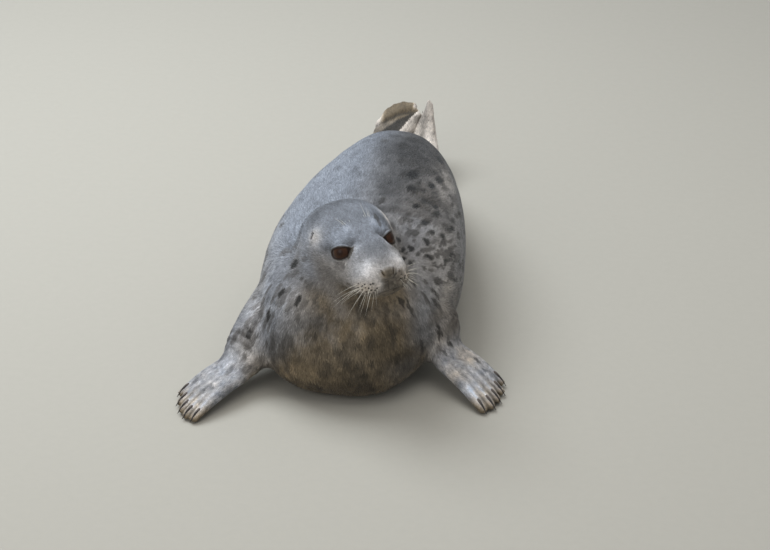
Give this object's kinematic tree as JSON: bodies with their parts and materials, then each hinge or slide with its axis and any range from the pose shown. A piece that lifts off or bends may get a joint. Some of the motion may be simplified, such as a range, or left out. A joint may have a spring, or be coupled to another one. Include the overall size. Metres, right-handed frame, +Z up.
{
  "type": "grey seal model",
  "caption": "Life-size still model of a young grey seal resting on its belly, head raised and turned to one side, fore flippers spread, hind flippers folded together.",
  "frame": {"origin": "on the floor, in the middle of the model's box", "axes": "+Y from the head to the hind flippers, +Z up, +X to the animal's left"},
  "size_m": [0.6188, 1.2356, 0.3478],
  "materials": {
    "chest": "short grey mottled coat",
    "trunk": "short grey mottled coat",
    "hindquarters": "short grey mottled coat",
    "tail": "short grey mottled coat",
    "neck": "short grey mottled coat",
    "head": "short grey mottled coat",
    "muzzle": "short grey mottled coat",
    "lower_jaw": "short grey mottled coat",
    "nose": "bare black skin, slightly damp",
    "eye_left": "wet, very dark eye",
    "eye_right": "wet, very dark eye",
    "fore_flipper_left": "short pale coat",
    "fore_flipper_right": "short pale coat",
    "hind_flipper_left": "short thin coat",
    "hind_flipper_right": "short thin coat",
    "claw_fore_left_1": "dark horn",
    "claw_fore_left_2": "dark horn",
    "claw_fore_left_3": "dark horn",
    "claw_fore_left_4": "dark horn",
    "claw_fore_left_5": "dark horn",
    "claw_fore_right_1": "dark horn",
    "claw_fore_right_2": "dark horn",
    "claw_fore_right_3": "dark horn",
    "claw_fore_right_4": "dark horn",
    "claw_fore_right_5": "dark horn",
    "claw_hind_left_1": "dark horn",
    "claw_hind_left_2": "dark horn",
    "claw_hind_left_3": "dark horn",
    "claw_hind_left_4": "dark horn",
    "claw_hind_left_5": "dark horn",
    "claw_hind_right_1": "dark horn",
    "claw_hind_right_2": "dark horn",
    "claw_hind_right_3": "dark horn",
    "claw_hind_right_4": "dark horn",
    "claw_hind_right_5": "dark horn"
  },
  "bodies": {
    "root": {"chest": "chest", "trunk": "trunk", "hindquarters": "hindquarters", "tail": "tail", "neck": "neck", "head": "head", "muzzle": "muzzle", "lower_jaw": "lower_jaw", "nose": "nose", "eye_left": "eye_left", "eye_right": "eye_right", "fore_flipper_left": "fore_flipper_left", "fore_flipper_right": "fore_flipper_right", "hind_flipper_left": "hind_flipper_left", "hind_flipper_right": "hind_flipper_right", "claw_fore_left_1": "claw_fore_left_1", "claw_fore_left_2": "claw_fore_left_2", "claw_fore_left_3": "claw_fore_left_3", "claw_fore_left_4": "claw_fore_left_4", "claw_fore_left_5": "claw_fore_left_5", "claw_fore_right_1": "claw_fore_right_1", "claw_fore_right_2": "claw_fore_right_2", "claw_fore_right_3": "claw_fore_right_3", "claw_fore_right_4": "claw_fore_right_4", "claw_fore_right_5": "claw_fore_right_5", "claw_hind_left_1": "claw_hind_left_1", "claw_hind_left_2": "claw_hind_left_2", "claw_hind_left_3": "claw_hind_left_3", "claw_hind_left_4": "claw_hind_left_4", "claw_hind_left_5": "claw_hind_left_5", "claw_hind_right_1": "claw_hind_right_1", "claw_hind_right_2": "claw_hind_right_2", "claw_hind_right_3": "claw_hind_right_3", "claw_hind_right_4": "claw_hind_right_4", "claw_hind_right_5": "claw_hind_right_5"}
  },
  "joints": []
}
